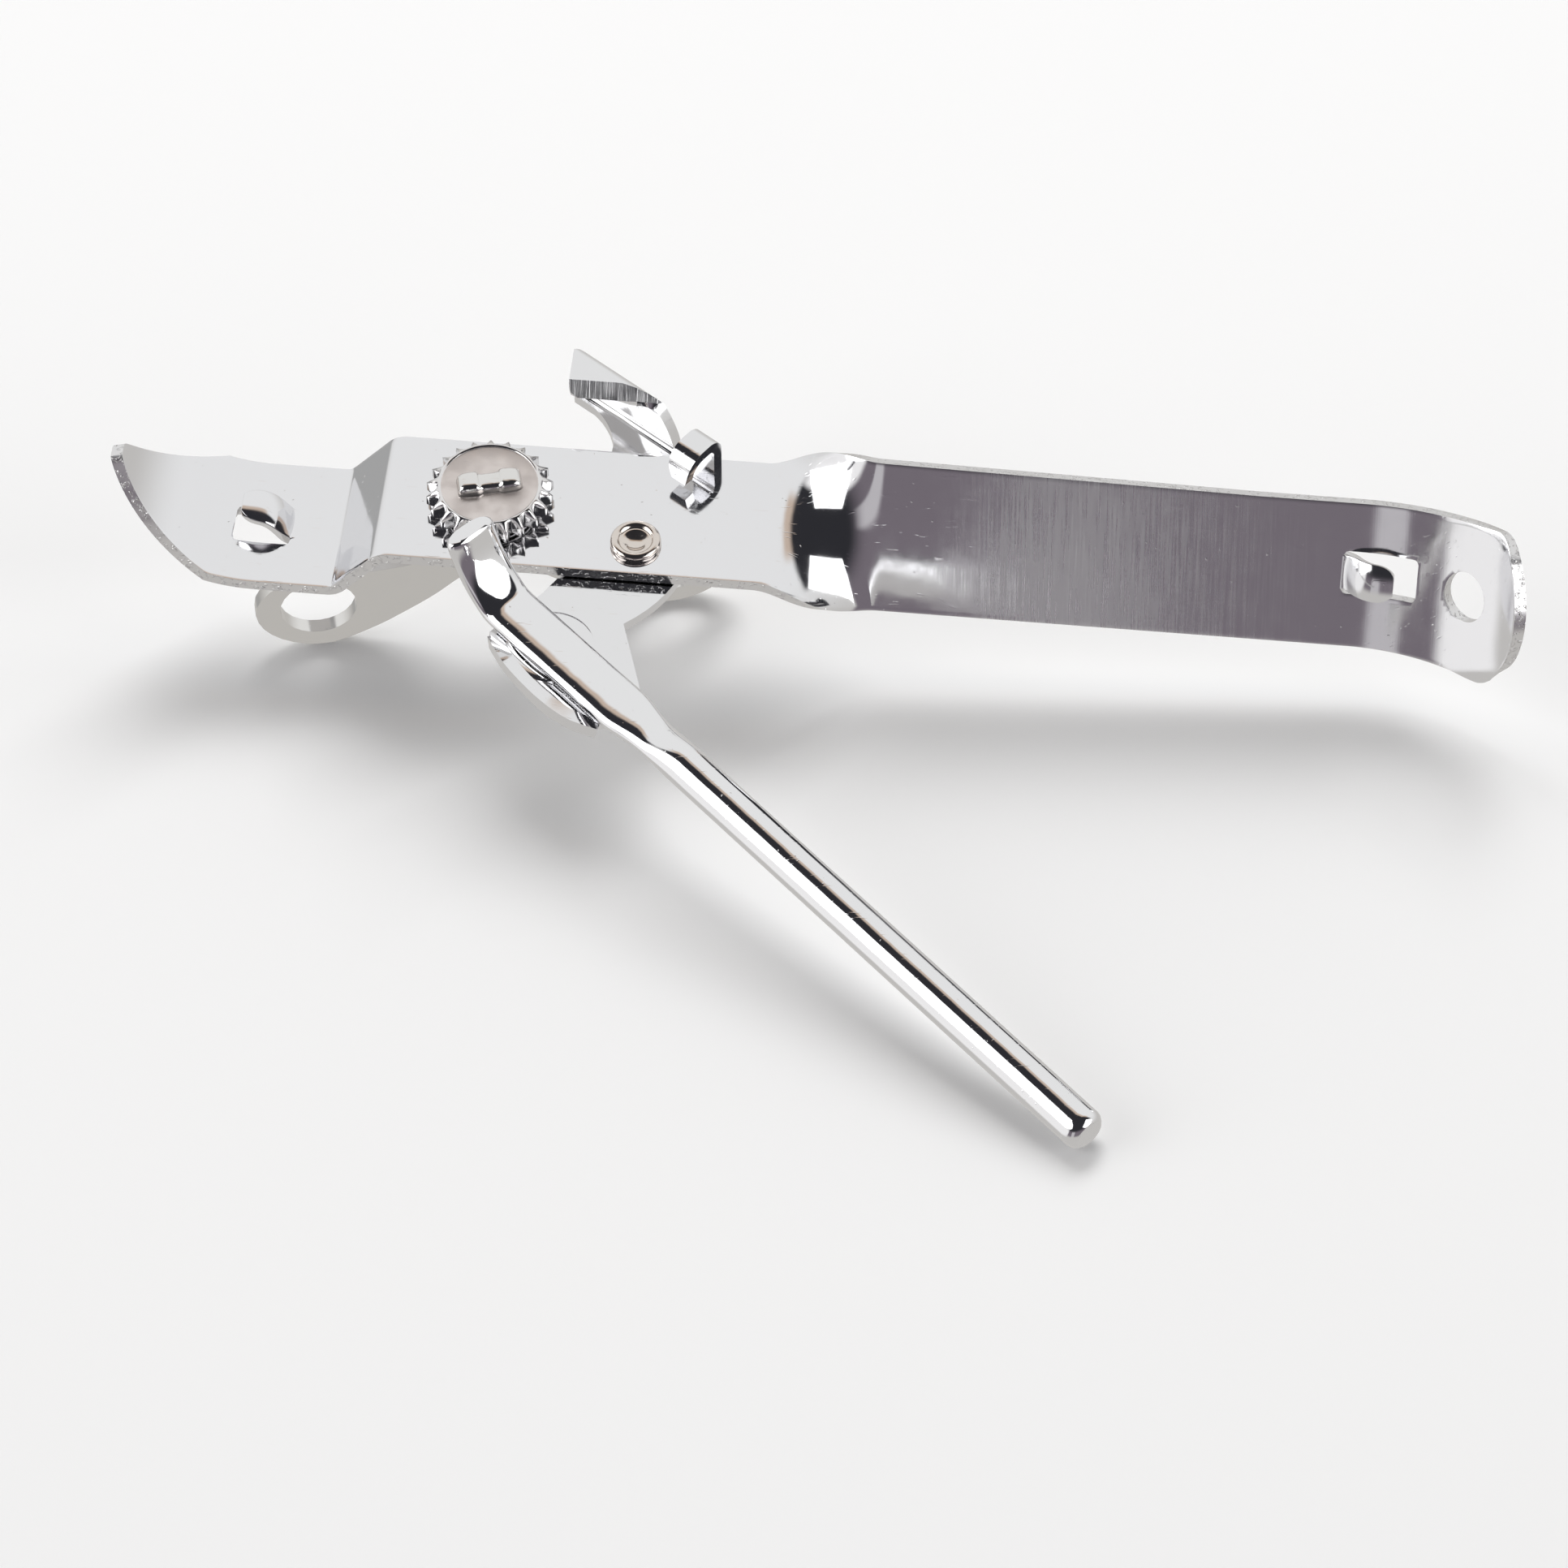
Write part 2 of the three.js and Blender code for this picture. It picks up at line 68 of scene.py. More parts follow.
def ramp(x, low, high):
    return min(1.0, max(0.0, (x - low) / (high - low)))


def ease(x, low, high):
    part = ramp(x, low, high)
    return part * part * (3 - 2 * part)


def mix(a, b, part):
    return a + (b - a) * part


def bar_axes(s):
    """Along, across and out of the bar's front face, at s millimetres along the strip from the wheel."""
    down = ramp(-s, JOGGLE_FROM, JOGGLE_FROM + JOGGLE_BEND)
    level = ramp(-s, JOGGLE_TO - JOGGLE_BEND, JOGGLE_TO)
    pitch = (
        math.radians(JOGGLE_ANGLE) * (down - level)
        - math.radians(CLAW_TURN) * ramp(-s, CLAW_FROM, CLAW_FROM + CLAW_LENGTH)
        + (BAR_TO - CURL_FROM) / CURL_RADIUS * ramp(s, CURL_FROM, BAR_TO)
    )
    twist = math.radians(TWIST_ANGLE) * ease(s, TWIST_FROM, TWIST_TO)
    flat = Vector((0, -math.sin(twist), math.cos(twist)))
    length = Vector((1, 0, 0))
    return (
        length * math.cos(pitch) + flat * math.sin(pitch),
        Vector((0, math.cos(twist), math.sin(twist))),
        flat * math.cos(pitch) - length * math.sin(pitch),
    )


def walk(start, axes, to, step=0.05):
    """Places along a path from 0 to to, a step apart."""
    places = [start.copy()]
    count = max(1, round(abs(to) / step))
    for i in range(count):
        places.append(places[-1] + axes(to * (i + 0.5) / count)[0] * (to / count))
    return places


def place_on(places, to, s):
    """The place at s on a walked path."""
    where = s / to * (len(places) - 1)
    low = min(len(places) - 2, max(0, int(where)))
    return places[low].lerp(places[low + 1], where - low)


bar_start = Vector((0, 0, -BAR_THICKNESS / 2))
claw_walk = walk(bar_start, bar_axes, BAR_FROM)
grip_walk = walk(bar_start, bar_axes, BAR_TO)


def bar_edges(s):
    """The strip's two edges at s, measured across from its middle."""
    from_tip = s - BAR_FROM
    claw = CLAW_TIP + CLAW_FLARE * from_tip + CLAW_ROUNDING * math.sqrt(max(from_tip, 0))
    body = mix(HEAD_HALF_WIDTH, GRIP_HALF_WIDTH, ease(s, TWIST_FROM, TWIST_TO))
    half = min(claw, body) + END_FLARE * ease(s, CURL_FROM, BAR_TO)
    half -= CORNER_WIDTH * (1 - math.sqrt(1 - ramp(s, BAR_TO - CORNER_LENGTH, BAR_TO) ** 2))
    return -half, half - GRIP_TAPER * ramp(s, TWIST_TO, 100)


def on_bar(s, t, out=0.0):
    """The point at s along and t across the strip, out millimetres in front of its middle."""
    along, across, normal = bar_axes(s)
    middle = place_on(claw_walk, BAR_FROM, s) if s < 0 else place_on(grip_walk, BAR_TO, s)
    arc = 5.2 * (t / 10.4) ** 2 + 1.5 * max(0, (-5 - t) / 5.5) ** 2
    return middle + across * t + normal * out - along * arc * ramp(s, BAR_TO - 12, BAR_TO)


def outside(s, t, opening):
    """How far a point of the flat strip lies outside a round-cornered opening."""
    middle_s, middle_t, half_length, half_width, corner = opening
    x = abs(s - middle_s) - half_length + corner
    y = abs(t - middle_t) - half_width + corner
    return math.hypot(max(x, 0), max(y, 0)) + min(max(x, y), 0) - corner


def punch(bm, openings):
    """Punches openings out of a flat grid, and draws the cut edges onto their outlines."""
    for opening in openings:
        waste = [f for f in bm.faces if outside(*f.calc_center_median()[:2], opening) < 0]
        rim = {v for f in waste for v in f.verts}
        bmesh.ops.delete(bm, geom=waste, context="FACES")
        for v in (v for v in rim if v.is_valid):
            for _ in range(3):
                s, t = v.co.x, v.co.y
                gap = outside(s, t, opening)
                slope = Vector((
                    outside(s + 0.01, t, opening) - outside(s - 0.01, t, opening),
                    outside(s, t + 0.01, opening) - outside(s, t - 0.01, opening),
                    0,
                ))
                if slope.length > 0:
                    v.co -= slope.normalized() * gap


def piece(name, bm, body, material, nodes=(), thickness=0, edge=0.0, levels=0, lowest_angle=35):
    """Makes an object from a finished bmesh, gives it thickness and soft edges, and fixes it to its body."""
    mesh = bpy.data.meshes.new(name)
    bm.to_mesh(mesh)
    bm.free()
    mesh.shade_smooth()
    made = bpy.data.objects.new(name, mesh)
    bpy.context.scene.collection.objects.link(made)
    for finish in material if isinstance(material, (list, tuple)) else [material]:
        mesh.materials.append(finish)
    if thickness:
        wall = made.modifiers.new("wall", "SOLIDIFY")
        wall.thickness, wall.offset = thickness / 1000, 0
        wall.use_even_offset = True
        wall.material_offset_rim = len(mesh.materials) - 1
    if edge:
        soft = made.modifiers.new("soft_edges", "BEVEL")
        soft.width, soft.segments = edge / 1000, 3
        soft.limit_method, soft.angle_limit = "ANGLE", math.radians(lowest_angle)
        soft.harden_normals = False
    if levels:
        smoother = made.modifiers.new("smoother", "SUBSURF")
        smoother.levels = smoother.render_levels = levels
    shading = made.modifiers.new("flat_faces", "WEIGHTED_NORMAL")
    shading.weight = 80
    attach(made, body)
    if nodes:
        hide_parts(*nodes)
    return made


def plated(name, colour, roughness, waviness=0.1, grain=0.0, pits=0.25, striped=None):
    """A plated steel finish: a slight waviness in the plate, fine scratches or grain, and tiny pits."""
    made = bpy.data.materials.new(name)
    made.use_nodes = True
    nodes, link = made.node_tree.nodes, made.node_tree.links.new
    shader = nodes["Principled BSDF"]
    shader.inputs["Metallic"].default_value = 1
    shader.inputs["Base Color"].default_value = (*colour, 1)
    places = nodes.new("ShaderNodeTexCoord")

    def noise(scale, detail, stretch=(1, 1, 1)):
        turn = nodes.new("ShaderNodeMapping")
        turn.inputs["Scale"].default_value = stretch
        link(places.outputs["Object"], turn.inputs["Vector"])
        made_noise = nodes.new("ShaderNodeTexNoise")
        made_noise.inputs["Scale"].default_value = scale
        made_noise.inputs["Detail"].default_value = detail
        link(turn.outputs["Vector"], made_noise.inputs["Vector"])
        return made_noise.outputs["Fac"]

    def between(value, low, high, to_low, to_high):
        spread = nodes.new("ShaderNodeMapRange")
        for socket, number in zip(
            ("From Min", "From Max", "To Min", "To Max"), (low, high, to_low, to_high)
        ):
            spread.inputs[socket].default_value = number
        link(value, spread.inputs["Value"])
        return spread.outputs["Result"]

    def bump(height, strength, distance, under=None):
        raised = nodes.new("ShaderNodeBump")
        raised.inputs["Strength"].default_value = strength
        raised.inputs["Distance"].default_value = distance
        link(height, raised.inputs["Height"])
        if under is not None:
            link(under, raised.inputs["Normal"])
        return raised.outputs["Normal"]

    # The plate's slow waves, then either the grain or the fine scratches of handling, then its pits.
    normal = bump(noise(140, 2), waviness, 0.0006)
    smudges = between(noise(420, 5), 0.35, 0.75, roughness * 0.8, roughness * 1.5)
    if grain:
        # The brushed stretch: fine grain across the grip, which is rougher in a band across its middle.
        streaks = noise(1, 3, (5200, 110, 110))
        split = nodes.new("ShaderNodeSeparateXYZ")
        link(places.outputs["Object"], split.inputs["Vector"])
        x = split.outputs["X"]
        rise, fall = between(x, 0.014, 0.030, 0, 1), between(x, 0.036, 0.072, 1, 0.12)
        haze = nodes.new("ShaderNodeMath")
        haze.operation = "MULTIPLY"
        link(rise, haze.inputs[0])
        link(fall, haze.inputs[1])
        streaky = nodes.new("ShaderNodeMath")
        streaky.operation = "MULTIPLY"
        link(haze.outputs[0], streaky.inputs[0])
        link(between(streaks, 0.3, 0.7, 0.12, 0.42), streaky.inputs[1])
        total = nodes.new("ShaderNodeMath")
        link(streaky.outputs[0], total.inputs[0])
        link(smudges, total.inputs[1])
        smudges = total.outputs[0]
        level = nodes.new("ShaderNodeMath")
        level.operation = "MULTIPLY"
        link(haze.outputs[0], level.inputs[0])
        link(streaks, level.inputs[1])
        normal = bump(level.outputs[0], grain, 0.00003, normal)
    if striped:
        # Grinding lines, which run across the ground face.
        normal = bump(noise(1, 3, striped), 0.9, 0.00022, normal)
    scratches = noise(1, 2, (260, 2600, 900))
    normal = bump(between(scratches, 0.66, 0.72, 0, 1), 0.16, 0.00003, normal)
    spots = between(noise(1500, 1), 0.82 - 0.24 * pits, 0.88 - 0.24 * pits, 0, 1)
    normal = bump(spots, pits, 0.0001, normal)
    link(smudges, shader.inputs["Roughness"])
    link(normal, shader.inputs["Normal"])
    return made


bar_chrome = plated("bar_chrome", (0.83, 0.83, 0.845), 0.075, waviness=0.05, grain=0.5)
cut_edge = plated("cut_edge", (0.78, 0.775, 0.78), 0.2, waviness=0.5, pits=1)
GRIP_WINDOW = (116.6, 0, 5.1, 3, 0.7)
HANGING_HOLE = (129.2, 0, 3.4, 3.4, 3.4)
CLAW_WINDOW = (-33.9, -0.7, 3.9, 2.8, 0.6)
bm = bmesh.new()
bmesh.ops.create_grid(bm, x_segments=440, y_segments=30, size=0.5)
for v in bm.verts:
    s = mix(BAR_FROM, BAR_TO, v.co.x + 0.5)
    v.co = (s, mix(*bar_edges(s), v.co.y + 0.5), 0)
punch(bm, [CLAW_WINDOW, GRIP_WINDOW, HANGING_HOLE])
for v in bm.verts:
    v.co = lie @ on_bar(v.co.x, v.co.y)
piece(
    "bar_strip", bm, "bar", [bar_chrome, cut_edge], ["handle_bar"], BAR_THICKNESS, edge=0.3
)


# Cap lifters: a tongue at each window, lanced out of the bar with its root still in the strip. The press
# crowns it and kicks its end level, so that it hooks under a cap.
def lifter(name, root, outward, length, half_width, rise, kick):
    bm = bmesh.new()
    bmesh.ops.create_grid(bm, x_segments=44, y_segments=16, size=0.5)
    along, across, normal = bar_axes(root)
    along, across = along * outward, across * outward

    def axes(q):
        levelled = ease(q, length * 0.45, length * 0.85)
        pitch = math.radians(rise) * ease(q, 0.2, 3) + math.radians(kick) * levelled
        return (
            along * math.cos(pitch) + normal * math.sin(pitch),
            normal * math.cos(pitch) - along * math.sin(pitch),
        )

    places = walk(on_bar(root, 0), axes, length)
    for v in bm.verts:
        q = length * (v.co.x + 0.5)
        narrow = math.sqrt(1 - 0.72 * ramp(q, length - half_width, length) ** 2)
        t = 2 * v.co.y * half_width * narrow
        crown = 0.45 * (1 - (t / half_width) ** 2) * ease(q, 1, length * 0.5)
        v.co = lie @ (place_on(places, length, q) + across * t + axes(q)[1] * (crown + 0.02))
    piece(name, bm, "bar", bar_chrome, thickness=BAR_THICKNESS - 0.1, edge=0.35)


lifter("claw_cap_lifter", -28.6, -1, 9.2, 2.4, 50, -46)
lifter("grip_cap_lifter", 110.6, 1, 8.8, 2.4, 50, -46)


# Knife lever: a chromed blank with a broad skirt, a neck, and a knife folded forward over the bar's edge,
# ground along its lower edge, with a hooked lug beside it that stops the lever at the bar.
def copied(node, flatness=0.6):
    """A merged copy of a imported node's mesh, with its flat faces made whole again."""
    bm = bmesh.new()
    bm.from_mesh(frame["nodes"][node].data)
    bmesh.ops.remove_doubles(bm, verts=bm.verts, dist=0.00001)
    bmesh.ops.dissolve_limit(
        bm, angle_limit=math.radians(flatness), use_dissolve_boundaries=False, verts=bm.verts, edges=bm.edges,
        delimit=set(),
    )
    return bm


lever_chrome = plated("lever_chrome", (0.82, 0.82, 0.83), 0.085, waviness=0.16)
ground_steel = plated("ground_steel", (0.90, 0.90, 0.91), 0.36, waviness=0.2, striped=(2200, 60, 60))
bm = copied("knife_lever", flatness=3)
ground_facing = (lie.to_3x3() @ Vector((0, -0.616, 0.788))).normalized()
for f in bm.faces:
    f.material_index = 1 if f.normal.dot(ground_facing) > 0.985 else 0
piece("lever_blank", bm, "lever", [lever_chrome, ground_steel], ["knife_lever"], edge=0.4)


# Rod handle: a round chromed rod, flattened at one end into a palm that is welded to the skirt, with its
# end curled up towards the front.
ROD_RADIUS, PALM_HALF_WIDTH, PALM_HALF_THICKNESS = 2.75, 3.57, 1.45
ROD_END = Vector((64.7, -85.8, -0.3))
ROD_NECK = Vector((4.9, -30.1, -0.3))
ROD_BEND = Vector((-15.5, -11.5, -0.3))
CURL_LENGTH, CURL_KINK, CURL_BEND = 11.8, 34, 42
PALM_SQUARENESS = 0.8
rod_length = (ROD_NECK - ROD_END).length
palm_length = (ROD_BEND - ROD_NECK).length
rod_total = rod_length + palm_length + CURL_LENGTH


def rod_axes(s):
    turned = ramp(s, rod_length - 3, rod_length + 3)
    flat = (ROD_NECK - ROD_END).normalized().lerp((ROD_BEND - ROD_NECK).normalized(), turned).normalized()
    q = s - rod_length - palm_length
    kink = math.radians(CURL_KINK) * ease(q, -1.2, 1.2)
    pitch = kink + math.radians(CURL_BEND) * ramp(q, 1, CURL_LENGTH)
    up = Vector((0, 0, 1))
    return (
        flat * math.cos(pitch) + up * math.sin(pitch),
        up.cross(flat),
        up * math.cos(pitch) - flat * math.sin(pitch),
    )


def tube(sides, count):
    """Rings of vertices joined by faces, ready to be put in place. Their vertices come in the same order."""
    bm = bmesh.new()
    rings = [bmesh.ops.create_circle(bm, cap_ends=False, segments=sides, radius=1)["verts"]]
    for _ in range(count - 1):
        last = set(rings[-1])
        edges = [e for e in bm.edges if last.issuperset(e.verts)]
        grown = bmesh.ops.extrude_edge_only(bm, edges=edges)["geom"]
        new = [v for v in grown if isinstance(v, bmesh.types.BMVert)]
        rings.append([min(new, key=lambda v, old=old: (v.co - old.co).length) for old in rings[-1]])
    return bm, rings


def close(bm, circles):
    for circle in circles:
        bmesh.ops.contextual_create(bm, geom=circle)
    bmesh.ops.recalc_face_normals(bm, faces=bm.faces)


rod_walk = walk(ROD_END, rod_axes, rod_total)
rod_chrome = plated("rod_chrome", (0.84, 0.84, 0.85), 0.06, waviness=0.12)
stations = [0, 0.15, 0.4, 0.8, 1.3] + [2 + 5 * i for i in range(13)]
stations += [67 + 0.8 * i for i in range(200) if 67 + 0.8 * i < rod_total - 0.9]
stations += [rod_total - 0.7, rod_total - 0.35, rod_total]
bm, rings = tube(48, len(stations))
angles = [math.atan2(v.co.y, v.co.x) for v in rings[0]]
for s, circle in zip(stations, rings):
    along, across, normal = rod_axes(s)
    middle = place_on(rod_walk, rod_total, s)
    wide, thin = ease(s, rod_length - 2, rod_length + 5), ease(s, rod_length - 7, rod_length)
    far_end = math.sqrt(1 - 0.5 * (1 - ramp(s, 0, 1.3)) ** 2)
    curled_end = math.sqrt(1 - 0.35 * ramp(s, rod_total - 0.7, rod_total) ** 2)
    end = far_end * curled_end
    square = mix(1, PALM_SQUARENESS, wide)
    for v, angle in zip(circle, angles):
        x, y = math.cos(angle), math.sin(angle)
        v.co = lie @ (
            Vector((*PIVOT_PLACE, 0))
            + middle
            + across * math.copysign(abs(x) ** square, x) * mix(ROD_RADIUS, PALM_HALF_WIDTH, wide) * end
            + normal * math.copysign(abs(y) ** square, y) * mix(ROD_RADIUS, PALM_HALF_THICKNESS, thin) * end
        )
close(bm, (rings[0], rings[-1]))
piece("rod_and_palm", bm, "lever", rod_chrome, ["rod_handle"], edge=0.15, lowest_angle=50)


# Skirt boss: a low round rise that the press forms in the lever's skirt, where the palm is welded on.
# It is the same chromed sheet as the lever.
BOSS_PLACE = (10.4, -21.6)
BOSS_SECTION = (
    (5.7, -2.3), (5.9, -2.1), (5.7, -1.93), (5.3, -1.8), (4.8, -1.71), (4.1, -1.66), (2.5, -1.64),
    (0.5, -1.64),
)
bm, rings = tube(64, len(BOSS_SECTION))
for (radius, height), circle in zip(BOSS_SECTION, rings):
    for v in circle:
        v.co = lie @ Vector((BOSS_PLACE[0] + radius * v.co.x, BOSS_PLACE[1] + radius * v.co.y, height))
close(bm, (rings[0], rings[-1]))
piece("skirt_boss", bm, "lever", lever_chrome)

# Feed wheel: a hardened toothed disc, satin on its face with a fine raised rim inside the teeth. The key's
# tang comes through its slot and is staked over.
TEETH, KEY_TURN = 22, math.radians(14.4)
TOOTH_ROOT, TOOTH_TIP, TOOTH_SHARPNESS = 6.8, 8.35, 0.85
WHEEL_SECTION = (
    (4.9, 0, 0.95), (6.6, 0, 0.95), (6.7, 0.8, 0.95), (6.7, 1, 1.2), (6.7, 1, 2.7), (6.72, 0.5, 3.3),
    (6.75, 0.12, 3.72), (6.72, 0, 3.84), (6.5, 0, 3.86), (6.38, 0, 3.7),
    (6.2, 0, 3.64), (4, 0, 3.6), (0.5, 0, 3.6),
)
wheel_steel = plated("wheel_steel", (0.80, 0.79, 0.79), 0.13, waviness=0.5)
wheel_satin = plated("wheel_satin", (0.80, 0.745, 0.72), 0.42, waviness=0.03)
bm, rings = tube(TEETH * 8, len(WHEEL_SECTION))
angles = [math.atan2(v.co.y, v.co.x) for v in rings[0]]
for (radius, tooth, height), circle in zip(WHEEL_SECTION, rings):
    for v, angle in zip(circle, angles):
        flank = abs((angle / math.tau * TEETH) % 1 - 0.5) * 2
        raised = ramp(flank, 0.2, 0.92) ** TOOTH_SHARPNESS
        reach = radius + (TOOTH_TIP - TOOTH_ROOT + 0.1) * tooth * raised
        turned = angle + KEY_TURN
        v.co = lie @ Vector((reach * math.cos(turned), reach * math.sin(turned), height))
close(bm, (rings[-1],))
disc = {v for circle in rings[9:] for v in circle}
for f in bm.faces:
    f.material_index = 1 if disc.issuperset(f.verts) else 0
piece("wheel_cut_teeth", bm, "drive", [wheel_steel, wheel_satin], ["feed_wheel"])

# Butterfly key: a flat chromed plate, blanked with two holed wings and a pair of shoulders behind the bar.
# Its tang goes through the bar and the wheel, and turns the wheel.
key_chrome = plated("key_chrome", (0.78, 0.77, 0.755), 0.12, waviness=0.12)
piece("key_plate", copied("butterfly_key"), "drive", key_chrome, ["butterfly_key"], edge=0.3)

# Staked tang: the end of the key's tang, which a punch spread over the wheel in three lumps. It is the same
# chromed steel as the key.
bm = bmesh.new()
bmesh.ops.create_grid(bm, x_segments=40, y_segments=14, size=0.5)
TANG_HALF_LENGTH, TANG_FOOT, STAKED_HEIGHT, MIDDLE_HEIGHT = 4.2, 3.4, 5.05, 4.6
for v in bm.verts:
    x, y = 2 * v.co.x, 2 * v.co.y
    middle = ramp(abs(x), 0.36, 0.24)
    lump = (1 - abs(x) ** 9) * (1 - abs(y) ** 5)
    groove = math.exp(-(((abs(x) - 0.33) / 0.05) ** 2))
    spread = mix(1.7, 1.4, middle) * (1 - 0.2 * abs(x) ** 6)
    top = mix(STAKED_HEIGHT, MIDDLE_HEIGHT, middle) - 0.28 * groove
    height = mix(TANG_FOOT, top, lump ** 0.4)
    v.co = lie @ (Matrix.Rotation(KEY_TURN, 3, "Z") @ Vector((TANG_HALF_LENGTH * x, spread * y, height)))
piece("staked_tang", bm, "drive", key_chrome, thickness=0.2)

# Pivot eyelet: a nickelled tube, rolled over at the front around a dimpled centre and clinched at the back.
# The lever turns on it. Plain steel washers sit on its shaft and on the key's.
eyelet_nickel = plated("eyelet_nickel", (0.74, 0.68, 0.63), 0.12, waviness=0.12)
EYELET_SECTION = (
    (2.2, -5.6), (3.1, -5.3), (3.1, -4.75), (2.3, -4.7), (2.3, 0.3), (3.2, 0.3), (3.34, 0.5),
    (3.3, 0.8), (3.05, 1.08), (2.7, 1.2), (2.4, 1.12), (2.2, 0.9), (2.1, 0.72), (1.95, 0.74),
    (1.7, 0.68), (1.3, 0.42), (0.8, 0.2), (0.3, 0.12),
)
bm, rings = tube(56, len(EYELET_SECTION))
for (radius, height), circle in zip(EYELET_SECTION, rings):
    for v in circle:
        v.co = lie @ Vector((PIVOT_PLACE[0] + radius * v.co.x, PIVOT_PLACE[1] + radius * v.co.y, height))
close(bm, (rings[0], rings[-1]))
piece("eyelet_head", bm, "bar", eyelet_nickel, ["pivot_eyelet"])
washer_steel = plated("washer_steel", (0.55, 0.55, 0.56), 0.3)
for node in ("spring_washer", "wheel_washer", "pivot_washer"):
    piece(node + "_ring", copied(node), "bar", washer_steel, [node], edge=0.1)

# Floor: a plain pale sheet that the opener lies on. It catches the shadows, and the plated steel doesn't
# pick it up.
bm = bmesh.new()
bmesh.ops.create_grid(bm, x_segments=2, y_segments=2, size=1.5)
mesh = bpy.data.meshes.new("floor")
bm.to_mesh(mesh)
bm.free()
floor = bpy.data.objects.new("floor", mesh)
bpy.context.scene.collection.objects.link(floor)
floor_paint = bpy.data.materials.new("floor_paint")
floor_paint.use_nodes = True
floor_paint.node_tree.nodes["Principled BSDF"].inputs["Base Color"].default_value = (0.9, 0.9, 0.9, 1)
floor_paint.node_tree.nodes["Principled BSDF"].inputs["Roughness"].default_value = 0.9
floor_paint.node_tree.nodes["Principled BSDF"].inputs["Specular IOR Level"].default_value = 0.1
mesh.materials.append(floor_paint)
floor.visible_glossy = False

# Studio: a pale room with a dark side towards the grip's face, grey and white stretches to the left, and
# three soft boxes. The back one lights the floor and isn't seen in the metal.
world = bpy.data.worlds.new("studio")
bpy.context.scene.world = world
world.use_nodes = True
nodes, link = world.node_tree.nodes, world.node_tree.links.new
sky = nodes["Background"]
places = nodes.new("ShaderNodeTexCoord")
parts = nodes.new("ShaderNodeSeparateXYZ")
link(places.outputs["Generated"], parts.inputs["Vector"])


def fade(value, low, high):
    """Rises smoothly from 0 to 1 as the value goes from low to high."""
    spread = nodes.new("ShaderNodeMapRange")
    spread.interpolation_type = "SMOOTHSTEP"
    spread.inputs["From Min"].default_value = low
    spread.inputs["From Max"].default_value = high
    link(value, spread.inputs["Value"])
    return spread.outputs["Result"]


def times(a, b):
    product = nodes.new("ShaderNodeMath")
    product.operation = "MULTIPLY"
    link(a, product.inputs[0])
    link(b, product.inputs[1])
    return product.outputs[0]


def lay(under, over, part):
    """One colour laid over another."""
    blend = nodes.new("ShaderNodeMix")
    blend.data_type = "RGBA"
    for socket, value in zip((blend.inputs[0], blend.inputs[6], blend.inputs[7]), (part, under, over)):
        if isinstance(value, tuple):
            socket.default_value = (*value, 1)
        else:
            link(value, socket)
    return blend.outputs[2]


size_x = nodes.new("ShaderNodeMath")
size_x.operation = "ABSOLUTE"
link(parts.outputs["X"], size_x.inputs[0])
x_side, y, z = size_x.outputs[0], parts.outputs["Y"], parts.outputs["Z"]
pale = lay((0.60, 0.585, 0.565), (0.89, 0.892, 0.888), fade(z, -0.3, 0.5))
warm = lay(pale, (0.62, 0.5, 0.41), times(fade(y, 0.32, 0.24), fade(z, 0.7, 0.9)))
lean = nodes.new("ShaderNodeMath")
lean.operation = "MULTIPLY_ADD"
link(fade(z, 0, 0.5), lean.inputs[0])
lean.inputs[1].default_value = -0.14
link(x_side, lean.inputs[2])
front = times(fade(y, 0.2, 0.1), times(fade(z, -0.5, -0.25), fade(lean.outputs[0], 0.88, 0.80)))
dark = lay((0.03, 0.03, 0.035), (0.19, 0.165, 0.19), fade(z, 0.3, -0.05))
x = parts.outputs["X"]
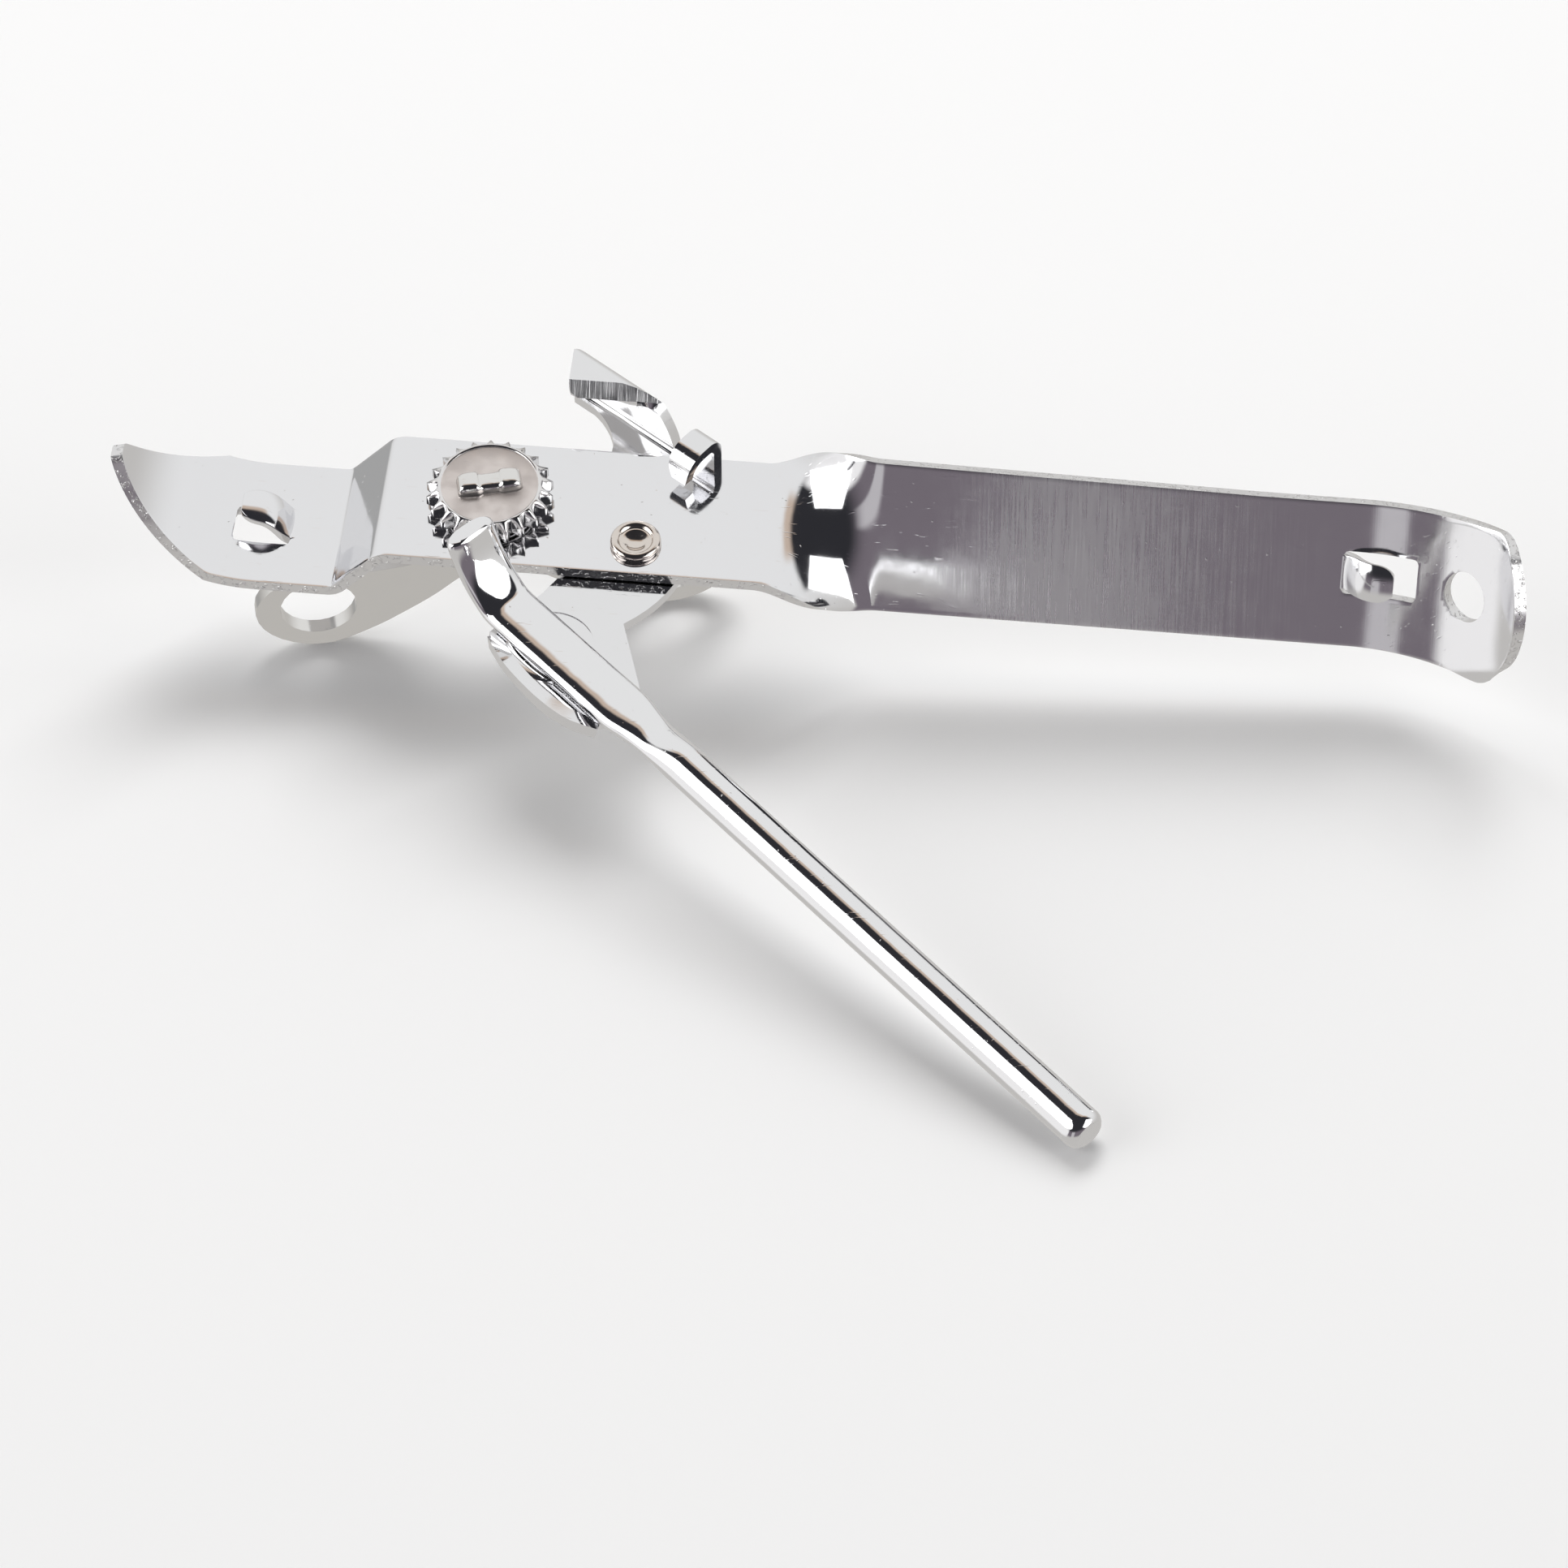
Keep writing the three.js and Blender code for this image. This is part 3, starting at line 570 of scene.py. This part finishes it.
curtain = times(times(fade(x, -0.5, -0.44), fade(x, -0.08, -0.2)), fade(z, 0.2, 0))
side = times(fade(x, -0.74, -0.84), fade(y, 0.25, 0.05))
room = lay(lay(warm, lay(dark, (0.55, 0.53, 0.55), curtain), front), (0.98, 0.97, 0.965), side)
corner = times(fade(x, -0.55, -0.68), times(fade(y, 0.42, 0.54), fade(z, 0.2, 0.05)))
room = lay(room, (0.42, 0.42, 0.415), corner)
link(room, sky.inputs["Color"])
sky.inputs["Strength"].default_value = 1.0

for name, place, size, power in (
    ("softbox_left", (-1.15, -0.45, 0.6), (1.2, 1.0), 7),
    ("softbox_right", (1.2, -0.55, 0.55), (1.2, 1.0), 7),
    ("softbox_back", (0.0, 0.85, 1.0), (0.9, 0.5), 9),
):
    lamp = bpy.data.lights.new(name, "AREA")
    lamp.shape, lamp.energy = "RECTANGLE", power
    lamp.size, lamp.size_y = size
    holder = bpy.data.objects.new(name, lamp)
    holder.matrix_world = (
        Matrix.Translation(place)
        @ (Vector(place) * -1).to_track_quat("-Z", "Y").to_matrix().to_4x4()
        @ Matrix.Rotation(math.radians(40), 4, "Z")
    )
    bpy.context.scene.collection.objects.link(holder)
    holder.visible_glossy = name != "softbox_back"

# Camera: above and in front of the opener, a long way off, with its place and turn given in the opener's
# working frame and carried into its lying pose.
CAMERA_PLACE = Vector((83.609, -467.197, 572.838))
CAMERA_RIGHT = Vector((0.99540, 0.09585, 0))
CAMERA_UP = Vector((-0.07685, 0.79808, 0.59763))
lens = bpy.data.cameras.new("camera")
lens.lens, lens.sensor_width, lens.clip_start = 130, 36, 0.01
camera = bpy.data.objects.new("camera", lens)
turn = (lie.to_3x3() * 1000) @ Matrix((CAMERA_RIGHT, CAMERA_UP, CAMERA_RIGHT.cross(CAMERA_UP))).transposed()
camera.matrix_world = Matrix.Translation(lie @ CAMERA_PLACE) @ turn.to_4x4()
bpy.context.scene.collection.objects.link(camera)
bpy.context.scene.camera = camera
bpy.context.scene.view_settings.view_transform = "Standard"
